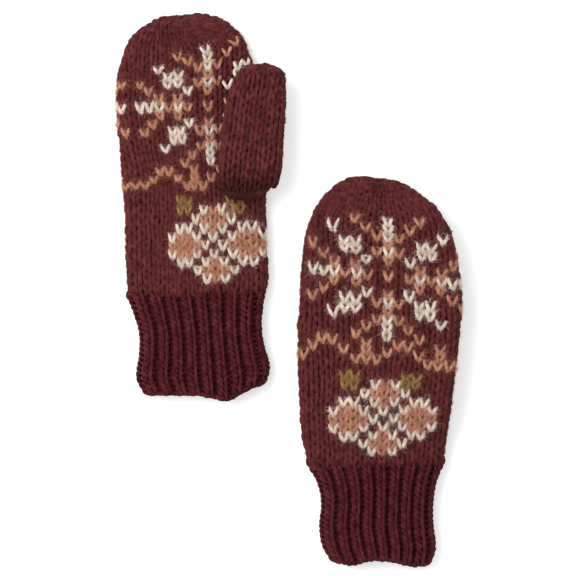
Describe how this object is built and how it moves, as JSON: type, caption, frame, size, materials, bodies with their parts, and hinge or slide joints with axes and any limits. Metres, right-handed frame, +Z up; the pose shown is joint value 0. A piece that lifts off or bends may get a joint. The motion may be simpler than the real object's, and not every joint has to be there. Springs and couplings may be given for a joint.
{
  "type": "knitted mittens",
  "caption": "Pair of hollow knitted mittens lying flat, with ribbed cuffs, folded thumbs and a stranded snowflake, zigzag and flower pattern.",
  "frame": {"origin": "middle of the pair's bounding box, on the surface they lie on", "axes": "+X to the right across both mittens, +Y from the cuffs to the fingertips, +Z up from the surface"},
  "size_m": [0.2266, 0.362, 0.0303],
  "materials": {
    "hand_yarn": "maroon bulky wool, matt and fuzzy",
    "cuff_yarn": "dark wine wool, matt",
    "cream_yarn": "cream wool, matt and fuzzy",
    "rose_yarn": "dusty rose wool, matt and fuzzy",
    "olive_yarn": "olive gold wool, matt and fuzzy"
  },
  "bodies": {
    "right_hand": {"right_hand": "hand_yarn", "right_tip_gather": "hand_yarn", "right_thumb_join": "hand_yarn", "right_snowflake_cream": "cream_yarn", "right_snowflake_rose": "rose_yarn", "right_zigzag_rose": "rose_yarn", "right_flower_cream": "cream_yarn", "right_flower_rose": "rose_yarn", "right_leaves_olive": "olive_yarn"},
    "right_cuff": {"right_cuff": "cuff_yarn", "right_cast_on_edge": "cuff_yarn"},
    "right_thumb": {"right_thumb": "hand_yarn", "right_thumb_gather": "hand_yarn"},
    "left_hand": {"left_hand": "hand_yarn", "left_tip_gather": "hand_yarn", "left_thumb_join": "hand_yarn", "left_snowflake_cream": "cream_yarn", "left_snowflake_rose": "rose_yarn", "left_zigzag_rose": "rose_yarn", "left_flower_cream": "cream_yarn", "left_flower_rose": "rose_yarn", "left_leaves_olive": "olive_yarn"},
    "left_cuff": {"left_cuff": "cuff_yarn", "left_cast_on_edge": "cuff_yarn"},
    "left_thumb": {"left_thumb": "hand_yarn", "left_thumb_gather": "hand_yarn"}
  },
  "joints": [
    {"name": "right_cuff_bend", "type": "hinge", "parent": "right_hand", "child": "right_cuff", "pos_m": [-0.06063, -0.00376, 0.0163], "axis": [-0.9994, -0.0349, 0], "range_deg": [0, 60]},
    {"name": "right_thumb_swing", "type": "hinge", "parent": "right_hand", "child": "right_thumb", "pos_m": [-0.03373, 0.07123, 0.017], "axis": [0, 0, -1], "range_deg": [-5, 45]},
    {"name": "left_mitten_slide", "type": "slide", "parent": "right_hand", "child": "left_hand", "axis": [1, 0, 0], "range_m": [0, 0.08]},
    {"name": "left_cuff_bend", "type": "hinge", "parent": "left_hand", "child": "left_cuff", "pos_m": [0.05662, -0.11457, 0.0163], "axis": [-0.9998, -0.0174, 0], "range_deg": [0, 60]},
    {"name": "left_thumb_swing", "type": "hinge", "parent": "left_hand", "child": "left_thumb", "pos_m": [0.08581, -0.03375, 0.013], "axis": [0, 0, -1], "range_deg": [0, 55]}
  ]
}
